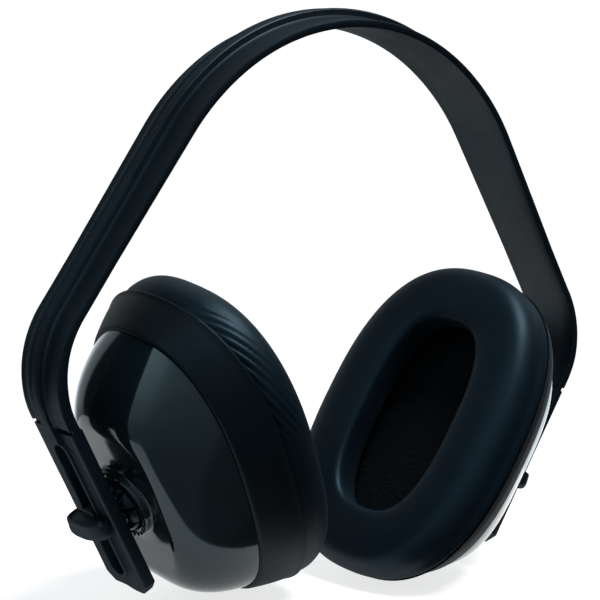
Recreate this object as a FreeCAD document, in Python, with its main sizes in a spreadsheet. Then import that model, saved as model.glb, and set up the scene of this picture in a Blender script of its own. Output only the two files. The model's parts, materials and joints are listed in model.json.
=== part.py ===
import FreeCAD, Part
import math
import os

import Sketcher
from FreeCAD import Placement, Rotation, Vector

# Passive hearing protector: a one-piece sprung headband and two ear cups on ball joints.
#
# Frame: X from the left cup (-X) to the right cup (+X), Y from front (-Y) to back (+Y), Z up.
# The origin is at the middle of the underside of the object's box, between the cups.
#
# Each side has its own local frame with its origin at the ball's centre: x runs down the end
# plate, z runs inwards, at right angles to the plate, and y follows from them. The right side's
# pieces are the left side's turned by half a turn about Z. "Depth" is a distance inwards from
# the end plate's inner face.

SIZES = {
    # headband, measured along its inner face from the middle of the crown
    "crown_height": 170.6,
    "crown_arc_length": 50.2,
    "crown_arc_radius": 71.6,
    "shoulder_arc_length": 20.6,
    "shoulder_arc_radius": 70.7,
    "leg_length": 60.2,
    "knee_arc_length": 29.2,
    "knee_arc_radius": 26.6,
    "plate_end": 218.0,
    "plate_start": 163.0,
    "band_width": 21.3,
    "crown_width": 26.7,
    "taper_end": 113.6,
    "flange_thickness": 2.2,
    "plate_thickness": 3.0,
    "rib_width": 5.2,
    "rib_height": 5.6,
    "groove_width": 1.2,
    "groove_depth": 0.7,
    "plate_corner": 3.0,
    # slot in the end plate
    "pivot_station": 194.9,
    "slot_top": 168.3,
    "slot_bottom": 213.7,
    "slot_width": 6.1,
    "rim_width": 10.0,
    "rim_height": 4.3,
    # slider knob
    "knob_radius": 7.4,
    "knob_thickness": 5.3,
    "tongue_width": 5.8,
    "tongue_length": 9.0,
    "slide_gap": 0.15,
    # ball joint
    "ball_depth": 7.0,
    "ball_radius": 5.0,
    "neck_radius": 2.75,
    "stud_flange_radius": 5.5,
    "stud_flange_thickness": 1.0,
    "socket_bore": 5.08,
    "socket_radius": 9.0,
    "socket_mouth": 3.9,
    "socket_top": 4.2,
    "socket_bottom": 4.4,
    "seat_radius": 9.1,
    "collar_radius": 11.2,
    "collar_top": 1.8,
    "finger_gap": 1.1,
    "finger_root": 0.6,
    "screw_radius": 1.25,
    "screw_head_radius": 2.3,
    "screw_head_height": 1.6,
    "screw_seat": 0.65,
    "screw_length": 12.8,
    # ear cup: depths from the plate's inner face, and half lengths and half widths of its ovals
    "face_depth": 8.0,
    "seam_depth": 27.9,
    "ring_depth": 40.2,
    "cushion_depth": 53.6,
    "cup_drop": 1.8,
    "shell_wall": 2.4,
    "seam_half_length": 46.6,
    "seam_half_width": 29.9,
    "ring_half_length": 51.3,
    "ring_half_width": 36.9,
    "cushion_half_length": 52.4,
    "cushion_half_width": 37.0,
    "opening_half_length": 32.4,
    "opening_half_width": 17.9,
    "liner_depth": 33.5,
    "liner_thickness": 3.0,
    # how each cup hangs at rest, in degrees
    "left_spin": 13.5,
    "left_tilt": -0.3,
    "left_swivel": -2.3,
    "right_spin": -1.9,
    "right_tilt": 1.3,
    "right_swivel": -7.9,
}

FINGERS = 10
OVAL_POINTS = 32
OVAL_POWER = 2.47
OPENING_POWER = 2.8
# (depth below the face, half length, half width, oval power) of the shell's outside, face first
SHELL_SECTIONS = [
    (0.0, 24.7, 15.5, 3.4),
    (1.9, 31.4, 19.0, 3.3),
    (4.1, 34.5, 21.0, 3.2),
    (7.0, 37.5, 23.1, 3.1),
    (11.2, 41.0, 25.6, 2.9),
    (15.4, 43.9, 27.8, 2.7),
]

doc = FreeCAD.newDocument("earmuffs")
sheet = doc.addObject("Spreadsheet::Sheet", "Sizes")
for row, (alias, value) in enumerate(SIZES.items(), 1):
    sheet.set(f"A{row}", alias)
    sheet.set(f"B{row}", str(value))
    sheet.setAlias(f"B{row}", alias)
doc.recompute()


def size(alias):
    """A driving dimension, read back from the sheet."""
    return float(sheet.get(alias))


# ---------------------------------------------------------------- headband


def band_segments():
    """Lengths and radii of the inner face's runs, from the crown down; radius 0 is straight."""
    bent = [("crown_arc_length", "crown_arc_radius"), ("shoulder_arc_length", "shoulder_arc_radius")]
    runs = [(size(length), size(radius)) for length, radius in bent]
    runs.append((size("leg_length"), 0.0))
    runs.append((size("knee_arc_length"), size("knee_arc_radius")))
    runs.append((size("plate_end") - sum(length for length, _ in runs), 0.0))
    return runs


def band_point(station, offset=0.0):
    """Point and slope angle of the band's side view; negative stations are on the left."""
    x, z, angle, left = 0.0, size("crown_height"), 0.0, abs(station)
    for length, radius in band_segments():
        step = min(length, left)
        if radius:
            turn = step / radius
            x += radius * (math.sin(angle + turn) - math.sin(angle))
            z += radius * (math.cos(angle + turn) - math.cos(angle))
            angle += turn
        else:
            x += step * math.cos(angle)
            z -= step * math.sin(angle)
        left -= step
        if left <= 0:
            break
    x += offset * math.sin(angle)
    z += offset * math.cos(angle)
    side = -1.0 if station < 0 else 1.0
    return Vector(side * x, 0, z), angle


def band_edges(start, end, offset):
    """Arcs and lines of the side view between two stations, at a distance outside the inner face."""
    breaks, total = [0.0], 0.0
    for length, _ in band_segments():
        total += length
        breaks.append(total)
    stations = sorted({-b for b in breaks[1:]} | set(breaks[1:]) | {start, end})
    stations = [s for s in stations if start <= s <= end]
    edges = []
    for a, b in zip(stations, stations[1:]):
        if b - a < 1e-6:
            continue
        first, middle, last = (band_point(s, offset)[0] for s in (a, (a + b) / 2, b))
        bend = (middle - (first + last) * 0.5).Length
        straight = Part.LineSegment(first, last).toShape()
        edges.append(straight if bend < 1e-4 else Part.Arc(first, middle, last).toShape())
    return edges


def band_slab(start, end, low, high, half_width):
    """Solid between two stations and two offsets, as wide as twice half_width."""
    inner = band_edges(start, end, low)
    outer = band_edges(start, end, high)
    ends = [
        Part.LineSegment(band_point(s, low)[0], band_point(s, high)[0]).toShape() for s in (start, end)
    ]
    wire = Part.Wire(Part.__sortEdges__(inner + outer + ends))
    face = Part.Face(wire)
    face.translate(Vector(0, -half_width, 0))
    return face.extrude(Vector(0, 2 * half_width, 0))


def taper_prism():
    """Everything inside the band's outline as seen from the side: wide at the crown, then even."""
    wide, narrow = size("crown_width") / 2, size("band_width") / 2
    top = size("crown_height") + 2 * size("rib_height")
    even = band_point(size("taper_end"))[0].z
    reach = 2 * size("plate_end")
    middle = Vector(0, (wide + narrow) / 2 + 0.35, (top + even) / 2)
    front = Part.Arc(Vector(0, wide, top), middle, Vector(0, narrow, even)).toShape()
    back = front.mirror(Vector(0, 0, 0), Vector(0, 1, 0))
    corners = [
        Vector(0, narrow, even),
        Vector(0, narrow, -reach),
        Vector(0, -narrow, -reach),
        Vector(0, -narrow, even),
    ]
    sides = [Part.LineSegment(a, b).toShape() for a, b in zip(corners, corners[1:])]
    lid = Part.LineSegment(Vector(0, wide, top), Vector(0, -wide, top)).toShape()
    outline = Part.Wire(Part.__sortEdges__([front, back, lid] + sides))
    prism = Part.Face(outline).extrude(Vector(2 * reach, 0, 0))
    prism.translate(Vector(-reach, 0, 0))
    return prism


def plate_frame(side):
    """Local frame of a side (-1 left, +1 right) with its origin at the ball's centre."""
    point, angle = band_point(-size("pivot_station"), -size("ball_depth"))
    down = Vector(-math.cos(angle), 0, -math.sin(angle))
    inwards = Vector(math.sin(angle), 0, -math.cos(angle))
    left = Placement(point, Rotation(down, Vector(0, 1, 0), inwards, "ZXY"))
    half_turn = Placement(Vector(0, 0, 0), Rotation(Vector(0, 0, 1), 180))
    return left if side < 0 else half_turn.multiply(left)


def oblong(half_length, half_width, low, high, shift):
    """Bar with round ends along local x, between two local heights."""
    tall = high - low
    straight = half_length - half_width
    bar = Part.makeBox(2 * straight, 2 * half_width, tall, Vector(shift - straight, -half_width, low))
    for sign in (-1, 1):
        bar = bar.fuse(Part.makeCylinder(half_width, tall, Vector(shift + sign * straight, 0, low)))
    return bar.removeSplitter()


def corner_cutter(sign):
    """Wedge that takes off one corner of the end plate's tip, in the local frame."""
    tip = size("plate_end") - size("pivot_station")
    half, corner, tall = size("band_width") / 2, size("plate_corner"), 4 * size("rim_height")
    points = [
        Vector(tip - corner, sign * (half + 1), 0),
        Vector(tip - corner, sign * half, 0),
        Vector(tip, sign * (half - corner), 0),
        Vector(tip + 1, sign * (half - corner), 0),
        Vector(tip + 1, sign * (half + 1), 0),
    ]
    wedge = Part.Face(Part.makePolygon(points + points[:1])).extrude(Vector(0, 0, tall))
    wedge.translate(Vector(0, 0, -size("ball_depth") - tall / 2))
    return wedge


def headband_shape():
    end, plate = size("plate_end"), size("plate_start")
    half, flange = size("band_width") / 2, size("flange_thickness")
    strip = band_slab(-end, end, 0, flange, size("crown_width") / 2).common(taper_prism())
    rib_end = size("slot_top")
    shape = strip.fuse(band_slab(-rib_end, rib_end, flange / 2, size("rib_height"), size("rib_width") / 2))
    middle = (size("slot_top") + size("slot_bottom")) / 2 - size("pivot_station")
    half_slot = (size("slot_bottom") - size("slot_top")) / 2
    ball_depth = size("ball_depth")
    rim_wall = (size("rim_width") - size("slot_width")) / 2
    for side in (-1, 1):
        ends = sorted((side * plate, side * end))
        shape = shape.fuse(band_slab(*ends, flange / 2, size("plate_thickness"), half))
        frame = plate_frame(side)
        rim_top = -ball_depth - size("rim_height")
        rim = oblong(half_slot + rim_wall, size("rim_width") / 2, rim_top, -ball_depth - 1, middle)
        slot = oblong(half_slot, size("slot_width") / 2, 3 * rim_top, -ball_depth + 5, middle)
        for piece in (rim, slot):
            piece.Placement = frame
        shape = shape.fuse(rim).cut(slot)
        for sign in (-1, 1):
            wedge = corner_cutter(sign)
            wedge.Placement = frame.multiply(wedge.Placement)
            shape = shape.cut(wedge)
        groove = sorted((side * (plate - size("groove_width")), side * plate))
        deep = flange - size("groove_depth")
        whole = band_slab(*groove, deep, 2 * flange, half + 1)
        keep = band_slab(*groove, 0, 2 * flange, size("rib_width") / 2)
        shape = shape.cut(whole.cut(keep))
    return shape.removeSplitter()


# ---------------------------------------------------------------- ovals and cups


def oval(half_length, half_width, power, height):
    """Closed superellipse at a local height, as one smooth periodic curve."""
    points = []
    for index in range(OVAL_POINTS):
        turn = 2 * math.pi * index / OVAL_POINTS
        cosine, sine = math.cos(turn), math.sin(turn)
        x = math.copysign(abs(cosine) ** (2 / power), cosine)
        y = math.copysign(abs(sine) ** (2 / power), sine)
        points.append(Vector(size("cup_drop") + half_length * x, half_width * y, height))
    curve = Part.BSplineCurve()
    curve.interpolate(Points=points, PeriodicFlag=True)
    return Part.Wire(curve.toShape())


def loft(sections):
    """Solid through ovals given as (depth, half length, half width, power)."""
    lift = size("ball_depth")
    wires = [oval(length, width, power, depth - lift) for depth, length, width, power in sections]
    return Part.makeLoft(wires, True, False)


def shell_sections(inset=0.0, skip=0):
    """The shell's ovals from its face to its seam, moved in by inset on every side."""
    face = size("face_depth")
    sections = [
        (face + inset + depth, length - inset, width - inset, power)
        for depth, length, width, power in SHELL_SECTIONS[skip:]
    ]
    seam = (size("seam_depth"), size("seam_half_length") - inset, size("seam_half_width") - inset, OVAL_POWER)
    return sections + [seam]


def cup_shell_shape():
    outside = loft(shell_sections())
    inside = loft(shell_sections(size("shell_wall")))
    wall = size("shell_wall")
    floor = size("socket_bottom") + 2.6
    top = -size("collar_top")
    collar = Part.makeCylinder(size("collar_radius"), floor + wall - top, Vector(0, 0, top))
    seat = Part.makeSphere(size("seat_radius")).common(
        Part.makeCylinder(2 * size("seat_radius"), floor - 3 * top, Vector(0, 0, 3 * top))
    )
    mouth = Part.makeCylinder(size("seat_radius"), 4 * wall, Vector(0, 0, top - 4 * wall))
    return outside.cut(inside).fuse(collar).cut(seat).cut(mouth).removeSplitter()


def tube(low, high, length, width):
    """Straight-sided oval block between two depths."""
    return loft([(depth, length, width, OVAL_POWER) for depth in (low, high)])


def seal_ring_shape():
    """Flared ring that butts on the shell's rim, with a pocket for the cushion's plate."""
    low, high, wall = size("seam_depth") + 0.05, size("ring_depth"), size("shell_wall")
    length, width = size("seam_half_length"), size("seam_half_width")
    flare = (high, size("ring_half_length"), size("ring_half_width"), OVAL_POWER)
    outside = loft([(low, length + 0.5, width + 0.5, OVAL_POWER), flare])
    bore = tube(low - 5, high + 5, length - wall - 1.5, width - wall - 1.5)
    pocket = tube(high - 3.5, high + 1, length - wall + 1.7, width - wall + 1.7)
    return outside.cut(bore).cut(pocket).removeSplitter()


def cushion_plate_shape():
    """Flat ring that carries the cushion, with a skirt that snaps into the seal ring."""
    low, thick, wall = size("ring_depth") + 0.05, 1.4, size("shell_wall")
    length, width = size("seam_half_length"), size("seam_half_width")
    flange = tube(low, low + thick, size("ring_half_length") - 2, size("ring_half_width") - 2)
    skirt = tube(low - 3, low + 0.5, length - wall + 1.5, width - wall + 1.5)
    hole = tube(low - 4, low + 4, size("opening_half_length") + 6, size("opening_half_width") + 5)
    return flange.fuse(skirt).cut(hole).removeSplitter()


def cushion_sections(inset):
    """The cushion's outside from its plate to its crowned face, moved in by inset."""
    low, high = size("ring_depth") + 1.5, size("cushion_depth")
    length, width = size("cushion_half_length"), size("cushion_half_width")
    tall = high - low
    shoulder = [(0.0, -0.8), (0.3, 0.0), (0.6, 0.0), (0.85, -2.2), (1.0, -7.5)]
    sections = []
    for share, grow in shoulder:
        depth = low + tall * share + inset * (1 - 2 * share)
        sections.append((depth, length + grow - inset, width + grow - inset, OVAL_POWER))
    return sections


def cushion_hole(inset):
    """The cushion's ear opening, widened by inset on every side."""
    low, high = size("ring_depth"), size("cushion_depth")
    length, width = size("opening_half_length") + inset, size("opening_half_width") + inset
    return loft([(low - 2, length, width, OPENING_POWER), (high + 2, length, width, OPENING_POWER)])


def cushion_skin_shape():
    skin = 0.9
    return loft(cushion_sections(0)).cut(cushion_hole(0)).cut(cushion_foam_shape(skin))


def cushion_foam_shape(inset=1.0):
    return loft(cushion_sections(inset)).cut(cushion_hole(inset))


def ear_liner_shape():
    depth = size("liner_depth")
    length = size("seam_half_length") - size("shell_wall") - 2.2
    width = size("seam_half_width") - size("shell_wall") - 2.2
    return tube(depth, depth + size("liner_thickness"), length, width)


def cup_foam_shape():
    """Foam block that fills the shell from behind the ball's seat to the liner."""
    length = size("seam_half_length") - size("shell_wall") - 2.2
    width = size("seam_half_width") - size("shell_wall") - 2.2
    back = size("ball_depth") + size("socket_bottom") + 7
    sections = [(back, length - 6.5, width - 6.0, 2.8)]
    sections.append(((back + size("liner_depth")) / 2, length - 2.4, width - 2.2, 2.6))
    sections.append((size("liner_depth") - 0.3, length, width, OVAL_POWER))
    return loft(sections)


# ---------------------------------------------------------------- small parts


def bound(kind, name, **expressions):
    """Part primitive whose properties are bound to the sheet by expressions."""
    item = doc.addObject(kind, name)
    for prop, expression in expressions.items():
        item.setExpression(prop.replace("_", "."), expression)
    return item


def joined(name, items):
    fusion = doc.addObject("Part::MultiFuse", name)
    fusion.Shapes = items
    fusion.Refine = True
    return fusion


def less(name, base, tool):
    cut = doc.addObject("Part::Cut", name)
    cut.Base = base
    cut.Tool = tool
    return cut


def cylinder(name, radius, height, base):
    """Cylinder along local z from a base height; all three are sheet expressions."""
    return bound("Part::Cylinder", name, Radius=radius, Height=height, Placement_Base_z=base)


def slider_knob(side):
    """Half-round finger tab outside the rim, with a tongue through the slot and a screw hole."""
    tab = doc.addObject("Part::Cylinder", f"{side}_tab")
    tab.Angle = 180
    tab.setExpression("Radius", "Sizes.knob_radius")
    tab.setExpression("Height", "Sizes.knob_thickness")
    tab.Placement.Rotation = Rotation(Vector(0, 1, 0), Vector(0, 0, -1), Vector(-1, 0, 0), "ZXY")
    tab.setExpression("Placement.Base.x", "Sizes.knob_thickness / 2")
    tab.setExpression("Placement.Base.z", "-Sizes.ball_depth - Sizes.rim_height - Sizes.slide_gap")
    tongue = bound(
        "Part::Box",
        f"{side}_tongue",
        Length="Sizes.tongue_length",
        Width="Sizes.tongue_width",
        Height="Sizes.rim_height + 1 + Sizes.slide_gap",
        Placement_Base_x="-Sizes.tongue_length / 2",
        Placement_Base_y="-Sizes.tongue_width / 2",
        Placement_Base_z="-Sizes.ball_depth - Sizes.rim_height - 1",
    )
    hole = cylinder(
        f"{side}_knob_hole", "Sizes.screw_radius + 0.02", "12", "-Sizes.ball_depth - Sizes.rim_height - 3"
    )
    return less(f"{side}_slider_knob", joined(f"{side}_knob_body", [tab, tongue]), hole)


def ball_stud(side):
    """Flanged stud with a ball, bored for the screw and counterbored for its head."""
    flange = cylinder(
        f"{side}_stud_flange",
        "Sizes.stud_flange_radius",
        "Sizes.stud_flange_thickness",
        "-Sizes.ball_depth + 2 * Sizes.slide_gap",
    )
    neck = cylinder(
        f"{side}_stud_neck",
        "Sizes.neck_radius",
        "Sizes.ball_depth - 2 * Sizes.slide_gap",
        "-Sizes.ball_depth + 2 * Sizes.slide_gap",
    )
    ball = bound("Part::Sphere", f"{side}_stud_ball", Radius="Sizes.ball_radius")
    ball.Angle2 = 52
    through = ["Sizes.screw_radius + 0.05", "3 * Sizes.ball_depth", "-2 * Sizes.ball_depth"]
    bore = cylinder(f"{side}_stud_bore", *through)
    recess = cylinder(f"{side}_stud_recess", "Sizes.screw_head_radius + 0.1", "Sizes.ball_radius", "0.6")
    body = joined(f"{side}_stud_body", [flange, neck, ball])
    return less(f"{side}_ball_stud", body, joined(f"{side}_stud_holes", [bore, recess]))


def stud_screw(side):
    """Screw through the stud into the knob's tongue."""
    body = doc.addObject("PartDesign::Body", f"{side}_stud_screw")
    profiles = [
        ("shank", "Sizes.screw_radius", "Sizes.screw_length", "Sizes.screw_seat - Sizes.screw_length"),
        ("head", "Sizes.screw_head_radius", "Sizes.screw_head_height", "Sizes.screw_seat"),
    ]
    plane = next(f for f in body.Origin.OriginFeatures if f.Role == "XY_Plane")
    for name, radius, length, base in profiles:
        sketch = body.newObject("Sketcher::SketchObject", f"{side}_{name}_sketch")
        sketch.AttachmentSupport = [(plane, "")]
        sketch.MapMode = "FlatFace"
        sketch.setExpression("AttachmentOffset.Base.z", base)
        circle = sketch.addGeometry(Part.Circle(Vector(0, 0, 0), Vector(0, 0, 1), 1), False)
        bind_circle(sketch, circle, radius)
        pad = body.newObject("PartDesign::Pad", f"{side}_{name}")
        pad.Profile = sketch
        pad.setExpression("Length", length)
    return body


def bind_circle(sketch, circle, radius):
    """Centres a circle on the sketch's origin and binds its radius to the sheet."""
    sketch.addConstraint(Sketcher.Constraint("Coincident", circle, 3, -1, 1))
    index = sketch.addConstraint(Sketcher.Constraint("Radius", circle, 1.0))
    sketch.renameConstraint(index, "radius")
    sketch.setExpression("Constraints.radius", radius)


def socket_ring(side):
    """Spherical ring that snaps over the ball; gaps in its top make the crown of fingers."""
    shell = bound("Part::Sphere", f"{side}_socket_ball", Radius="Sizes.socket_radius")
    between = ["2 * Sizes.socket_radius", "Sizes.socket_top + Sizes.socket_bottom", "-Sizes.socket_top"]
    slab = cylinder(f"{side}_socket_slab", *between)
    barrel = doc.addObject("Part::Common", f"{side}_socket_barrel")
    barrel.Base = shell
    barrel.Tool = slab
    tools = [bound("Part::Sphere", f"{side}_socket_cavity", Radius="Sizes.socket_bore")]
    mouth = ["Sizes.socket_mouth", "2 * Sizes.socket_top - 1", "-2 * Sizes.socket_top"]
    tools.append(cylinder(f"{side}_socket_mouth", *mouth))
    for index in range(FINGERS):
        gap = bound(
            "Part::Box",
            f"{side}_finger_gap_{index}",
            Length="2 * Sizes.socket_radius",
            Width="Sizes.finger_gap",
            Height="2 * Sizes.socket_top",
        )
        turn = Rotation(Vector(0, 0, 1), 360 * index / FINGERS)
        lower = Vector(0, -size("finger_gap") / 2, -2 * size("socket_top") - size("finger_root"))
        gap.Placement = Placement(turn.multVec(lower), turn)
        tools.append(gap)
    return less(f"{side}_socket_ring", barrel, joined(f"{side}_socket_tools", tools))


def lofted(side, name, shape):
    """Piece lofted through ovals, held as one feature."""
    item = doc.addObject("Part::Feature", f"{side}_{name}")
    item.Shape = shape
    return item


# ---------------------------------------------------------------- assembly

band = doc.addObject("Part::Feature", "headband")
band.Shape = headband_shape()
nodes = {"headband": band}
X_AXIS, Y_AXIS, Z_AXIS = Vector(1, 0, 0), Vector(0, 1, 0), Vector(0, 0, 1)
CUP_SHAPES = {
    "cup_shell": cup_shell_shape(),
    "seal_ring": seal_ring_shape(),
    "cushion_plate": cushion_plate_shape(),
    "cushion_skin": cushion_skin_shape(),
    "cushion_foam": cushion_foam_shape(),
    "ear_liner": ear_liner_shape(),
    "cup_foam": cup_foam_shape(),
}

for side_name, side_sign in (("left", -1), ("right", 1)):
    plate = plate_frame(side_sign)
    spin = Placement(Vector(), Rotation(Z_AXIS, size(f"{side_name}_spin")))
    tilt = Placement(Vector(), Rotation(Y_AXIS, size(f"{side_name}_tilt")))
    swivel = Placement(Vector(), Rotation(X_AXIS, size(f"{side_name}_swivel")))
    on_plate = {"slider_knob": slider_knob(side_name), "stud_screw": stud_screw(side_name)}
    placed = [(item, name, plate) for name, item in on_plate.items()]
    placed.append((ball_stud(side_name), "ball_stud", plate.multiply(spin)))
    placed.append((socket_ring(side_name), "socket_ring", plate.multiply(spin).multiply(tilt)))
    cup = plate.multiply(spin).multiply(tilt).multiply(swivel)
    placed += [(lofted(side_name, name, shape), name, cup) for name, shape in CUP_SHAPES.items()]
    for item, name, where in placed:
        item.Placement = where
        nodes[f"{side_name}_{name}"] = item

for name, item in nodes.items():
    item.Label = name
doc.recompute()

for item in doc.Objects:
    if {"Invalid", "Error"} & set(item.State):
        raise RuntimeError(f"{item.Name} failed: {item.State}")

os.makedirs("parts", exist_ok=True)
for name, item in nodes.items():
    shape = item.Shape
    if shape.isNull() or not shape.isValid():
        raise RuntimeError(f"{name} has no valid shape")
    print(f"{name:22s} solids {len(shape.Solids)} volume {shape.Volume:9.1f}")
    shape.exportStep(f"parts/{name}.step")
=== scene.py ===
import json
import math

import bmesh
import bpy
import numpy as np
from mathutils import Matrix, Vector
from mathutils.kdtree import KDTree


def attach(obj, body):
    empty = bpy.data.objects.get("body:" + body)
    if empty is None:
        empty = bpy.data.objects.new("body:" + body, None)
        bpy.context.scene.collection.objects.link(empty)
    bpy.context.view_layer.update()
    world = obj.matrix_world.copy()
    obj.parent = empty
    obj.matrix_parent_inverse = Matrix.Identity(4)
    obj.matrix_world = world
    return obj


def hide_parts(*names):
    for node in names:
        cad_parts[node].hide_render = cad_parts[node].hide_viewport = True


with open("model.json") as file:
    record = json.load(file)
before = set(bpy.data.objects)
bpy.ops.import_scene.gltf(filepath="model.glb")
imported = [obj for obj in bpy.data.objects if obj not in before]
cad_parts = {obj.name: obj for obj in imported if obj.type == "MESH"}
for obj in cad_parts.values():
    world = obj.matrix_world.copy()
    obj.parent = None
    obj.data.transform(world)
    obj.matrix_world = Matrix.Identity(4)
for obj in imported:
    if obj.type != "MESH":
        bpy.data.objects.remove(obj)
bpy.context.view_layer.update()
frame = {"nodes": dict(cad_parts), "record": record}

MM = 0.001
SIDES = ("left", "right")

# ---------------------------------------------------------------- frames of the two sides

JOINTS = {joint["name"]: joint for joint in frame["record"]["behaviour"]["joints"]}
MOUNTS = {mount["name"]: mount for mount in frame["record"]["mounts"]}


def unit(vector):
    vector = np.array(vector, float)
    return vector / np.linalg.norm(vector)


def placement(x_axis, z_axis, origin):
    """4x4 matrix of a local frame whose z is kept and whose x is made square to it."""
    z_axis = unit(z_axis)
    y_axis = unit(np.cross(z_axis, x_axis))
    matrix = np.eye(4)
    matrix[:3, :3] = np.stack([np.cross(y_axis, z_axis), y_axis, z_axis], 1)
    matrix[:3, 3] = origin
    return matrix


def side_frames(side):
    """Local frames at the ball's centre: x down the end plate, z inwards, in metres."""
    spin, tilt, swivel = (JOINTS[f"{side}_{kind}"] for kind in ("spin", "tilt", "swivel"))
    origin = spin["pos_m"]
    down = np.array(JOINTS[f"{side}_slide"]["axis"]) * (-1 if side == "left" else 1)
    across = np.array(tilt["axis"]) * (1 if side == "left" else -1)
    return {
        "plate": placement(down, spin["axis"], origin),
        "stud": placement(np.cross(across, spin["axis"]), spin["axis"], origin),
        "socket": placement(swivel["axis"], np.cross(swivel["axis"], across), origin),
        "cup": placement(swivel["axis"], MOUNTS[f"{side}_ear_seal"]["axis"], origin),
    }


FRAMES = {side: side_frames(side) for side in SIDES}
BALL_DEPTH = 7.0  # the ball centre below the end plate's inner face, mm

# ---------------------------------------------------------------- mesh helpers


def smoothstep(low, high, value):
    share = np.clip((np.asarray(value, float) - low) / (high - low), 0, 1)
    return share * share * (3 - 2 * share)


def smooth_but_crisp(build, crease):
    """Smooth faces with outward normals; edges sharper than the crease angle stay crisp."""
    bmesh.ops.recalc_face_normals(build, faces=build.faces)
    for face in build.faces:
        face.smooth = True
    limit = math.radians(crease)
    for edge in build.edges:
        edge.smooth = not edge.is_manifold or edge.calc_face_angle(0.0) < limit


def make_object(name, verts, faces, matrix=None, crease=40.0):
    """Mesh object from points in millimetres of a local frame, with outward normals."""
    verts = np.asarray(verts, float) * MM
    if matrix is not None:
        verts = verts @ np.asarray(matrix)[:3, :3].T + np.asarray(matrix)[:3, 3]
    mesh = bpy.data.meshes.new(name)
    mesh.from_pydata(verts.tolist(), [], [list(map(int, face)) for face in faces])
    build = bmesh.new()
    build.from_mesh(mesh)
    bmesh.ops.remove_doubles(build, verts=build.verts, dist=1e-7)
    smooth_but_crisp(build, crease)
    build.to_mesh(mesh)
    build.free()
    obj = bpy.data.objects.new(name, mesh)
    bpy.context.scene.collection.objects.link(obj)
    return obj


def skin_loops(loops, ring=False):
    """Vertices and faces of a skin over closed loops.

    A ring joins its last loop to the first. Otherwise both ends are closed by a fan.
    """
    loops = np.asarray(loops, float)
    rows, count = loops.shape[:2]
    verts = loops.reshape(-1, 3).tolist()
    faces = []
    for row in range(rows if ring else rows - 1):
        low, high = row * count, ((row + 1) % rows) * count
        for k in range(count):
            nxt = (k + 1) % count
            faces.append((low + k, low + nxt, high + nxt, high + k))
    if not ring:
        for base in (0, (rows - 1) * count):
            middle = loops[base // count].mean(0)
            verts.append(middle.tolist())
            for k in range(count):
                faces.append((base + k, base + (k + 1) % count, len(verts) - 1))
    return verts, faces


def apply_all(obj):
    """Bakes an object's modifiers into its mesh."""
    graph = bpy.context.evaluated_depsgraph_get()
    mesh = bpy.data.meshes.new_from_object(obj.evaluated_get(graph))
    old, obj.data = obj.data, mesh
    mesh.name = obj.name
    obj.modifiers.clear()
    bpy.data.meshes.remove(old)


def unite(obj, other):
    """Joins another closed mesh to an object's and removes the other."""
    modifier = obj.modifiers.new("Union", "BOOLEAN")
    modifier.operation = "UNION"
    modifier.solver = "MANIFOLD"
    modifier.object = other
    bpy.context.view_layer.update()
    apply_all(obj)
    bpy.data.objects.remove(other)


def shade(obj, crease):
    """Renews the shading after a boolean has changed the mesh."""
    build = bmesh.new()
    build.from_mesh(obj.data)
    smooth_but_crisp(build, crease)
    build.to_mesh(obj.data)
    build.free()
    return obj


def rounded_reach(cosine, sine, power, length=1.0, width=1.0):
    """Distance from the middle to a superellipse's edge in one direction."""
    return (np.abs(cosine / length) ** power + np.abs(sine / width) ** power) ** (-1 / power)


# ---------------------------------------------------------------- headband

# millimetres; stations are measured along the band's inner face from the crown
CROWN = 170.6
# the band's side view from the crown down: (length, radius, with 0 for a straight run)
BAND_RUNS = ((50.2, 71.6), (20.6, 70.7), (60.2, 0.0), (29.2, 26.6), (1000.0, 0.0))
PLATE_START, PLATE_END = 163.4, 219.2
HALF_WIDTH = 10.65
SLOT_FROM, SLOT_TO, SLOT_HALF = 168.3, 213.7, 3.05
CHAMFER = 3.0
LEAN = 0.4
CROWN_WIDENING, WIDENING_LENGTH = 0.255, 113.6
NOTCH_FROM, NOTCH_DEPTH = 162.0, 0.9
RIB_TOP, RIB_TOP_FALL = 5.57, 1.0
PLATE_TUCK = 0.06  # keeps the band's own section just inside the end plate's


def band_point(station, offset):
    """Point of the band's side view at a station from the crown and a height off the inner face."""
    x, z, angle, left = 0.0, CROWN, 0.0, abs(station)
    for length, radius in BAND_RUNS:
        step = min(length, left)
        if radius:
            turn = step / radius
            x += radius * (math.sin(angle + turn) - math.sin(angle))
            z += radius * (math.cos(angle + turn) - math.cos(angle))
            angle += turn
        else:
            x += step * math.cos(angle)
            z -= step * math.sin(angle)
        left -= step
        if left <= 0:
            break
    station_down = abs(station)
    pull_in = float(smoothstep(10, 60, station_down) - smoothstep(125, 163, station_down))
    x += offset * math.sin(angle) - LEAN * pull_in
    z += offset * math.cos(angle) + LEAN * float(1 - smoothstep(60, 160, station_down))
    return math.copysign(1.0, station) * x, z


def edge_height(station, thick):
    """Thickness of a flange's edge, which grows towards the end plates, on one side more."""
    if thick:
        return 2.1 + 1.15 * float(smoothstep(120.0, 158.0, station))
    return 2.1 + 0.5 * float(smoothstep(135.0, 163.0, station))


def rib_foot(edge):
    return max(3.0, edge) + 0.1


def plate_tuck(station):
    return PLATE_TUCK if station > PLATE_START - 0.01 else 0.0


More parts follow.
